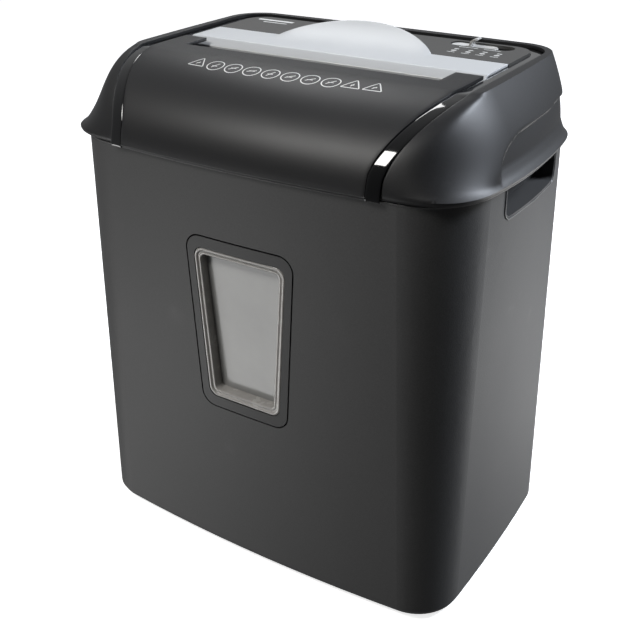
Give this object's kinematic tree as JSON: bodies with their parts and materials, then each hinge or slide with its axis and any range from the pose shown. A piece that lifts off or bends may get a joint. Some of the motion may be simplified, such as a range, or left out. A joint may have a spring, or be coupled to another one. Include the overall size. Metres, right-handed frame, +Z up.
{
  "type": "paper shredder",
  "caption": "Cross-cut paper shredder: charcoal waste bin with a window under a black lift-off cutter head with a top slot, silver entry plate and slide switch",
  "frame": {"origin": "on the floor under the middle of the object's box", "axes": "+X to the right of a person in front of it, -Y towards that person, +Z up"},
  "size_m": [0.358, 0.234, 0.4162],
  "materials": {
    "bin_plastic": "fine-grained charcoal",
    "satin_black": "satin black",
    "gloss_black": "piano black",
    "deck_plastic": "fine-grained warm grey",
    "silver_plastic": "satin silver paint",
    "clear_plastic": "translucent, moulded",
    "smoked_pane": "smoked, polished",
    "black_plastic": "moulded black",
    "rubber_feet": "moulded",
    "nylon": "natural nylon",
    "steel": "turned and oiled",
    "bronze": "sintered bronze",
    "zinc_plate": "zinc-plated sheet",
    "copper_core": "wound armature",
    "board_laminate": "printed circuit board"
  },
  "bodies": {
    "bin": {"bin_shell": "bin_plastic", "bin_pocket_left": "black_plastic", "bin_pocket_right": "black_plastic", "window_surround": "bin_plastic", "window_rim": "clear_plastic", "window_pane": "smoked_pane", "bin_feet": "rubber_feet"},
    "head": {"head_housing": "satin_black", "gloss_trim": "gloss_black", "front_cover": "satin_black", "control_deck": "deck_plastic", "entry_plate": "silver_plastic", "paper_throat": "black_plastic", "bottom_cover": "black_plastic", "lever_pin": "steel", "sensor_switch": "black_plastic", "shaft_bushes": "bronze", "gear_pins": "steel", "left_frame_plate": "zinc_plate", "right_frame_plate": "zinc_plate", "tie_rods": "steel", "front_stripper_comb": "nylon", "rear_stripper_comb": "nylon", "gearbox_cover": "zinc_plate", "gearbox_posts": "steel", "motor_case": "zinc_plate", "motor_end_cap": "black_plastic", "thermal_cutout": "black_plastic", "casing_screws": "steel", "bin_switch": "black_plastic", "control_board": "board_laminate", "board_capacitor": "black_plastic", "board_relay": "black_plastic", "board_terminals": "nylon", "slider_contact": "black_plastic", "board_posts": "black_plastic", "cord_gland": "rubber_feet", "lamp_lenses": "clear_plastic", "switch_tray": "black_plastic"},
    "switch": {"switch_slider": "clear_plastic"},
    "rear_cutter": {"rear_cutter_discs": "steel", "rear_cutter_spacers": "steel", "rear_cutter_shaft": "steel", "rear_timing_gear": "steel", "rear_shaft_clip": "steel", "drive_gear": "steel"},
    "front_cutter": {"front_cutter_discs": "steel", "front_cutter_spacers": "steel", "front_cutter_shaft": "steel", "front_timing_gear": "steel", "front_shaft_clip": "steel"},
    "second_gear": {"second_reduction_gear": "steel"},
    "first_gear": {"first_reduction_gear": "nylon"},
    "motor_rotor": {"motor_shaft": "steel", "motor_armature": "copper_core", "motor_pinion": "steel", "motor_fan": "black_plastic"},
    "paper_sensor": {"paper_lever": "nylon"},
    "bin_sensor": {"bin_switch_plunger": "nylon"}
  },
  "joints": [
    {"name": "head_lift", "type": "slide", "parent": "bin", "child": "head", "axis": [0, 0, 1], "range_m": [0, 0.1]},
    {"name": "switch_slide", "type": "slide", "parent": "head", "child": "switch", "axis": [1, 0, 0], "range_m": [0, 0.013]},
    {"name": "rear_cutter_spin", "type": "hinge", "parent": "head", "child": "rear_cutter", "pos_m": [0, 0.014, 0.352], "axis": [1, 0, 0], "continuous": true},
    {"name": "front_cutter_spin", "type": "hinge", "parent": "head", "child": "front_cutter", "pos_m": [0, -0.0235, 0.352], "axis": [1, 0, 0], "continuous": true},
    {"name": "second_gear_spin", "type": "hinge", "parent": "head", "child": "second_gear", "pos_m": [0.135, 0.03698, 0.37128], "axis": [1, 0, 0], "continuous": true},
    {"name": "first_gear_spin", "type": "hinge", "parent": "head", "child": "first_gear", "pos_m": [0.127, 0.05777, 0.35928], "axis": [1, 0, 0], "continuous": true},
    {"name": "motor_spin", "type": "hinge", "parent": "head", "child": "motor_rotor", "pos_m": [0.07, 0.07662, 0.35049], "axis": [1, 0, 0], "continuous": true},
    {"name": "paper_lever_tilt", "type": "hinge", "parent": "head", "child": "paper_sensor", "pos_m": [0, 0.009, 0.389], "axis": [1, 0, 0], "range_deg": [0, 20], "stiffness_Nm_per_rad": 0.002},
    {"name": "bin_plunger_slide", "type": "slide", "parent": "head", "child": "bin_sensor", "axis": [0, 0, 1], "range_m": [0, 0.003], "stiffness_N_per_m": 200}
  ],
  "couplings": [
    {"joint": "front_cutter_spin", "follows": "rear_cutter_spin", "ratio": -1},
    {"joint": "second_gear_spin", "follows": "rear_cutter_spin", "ratio": -3},
    {"joint": "first_gear_spin", "follows": "rear_cutter_spin", "ratio": 9},
    {"joint": "motor_spin", "follows": "rear_cutter_spin", "ratio": -30}
  ]
}
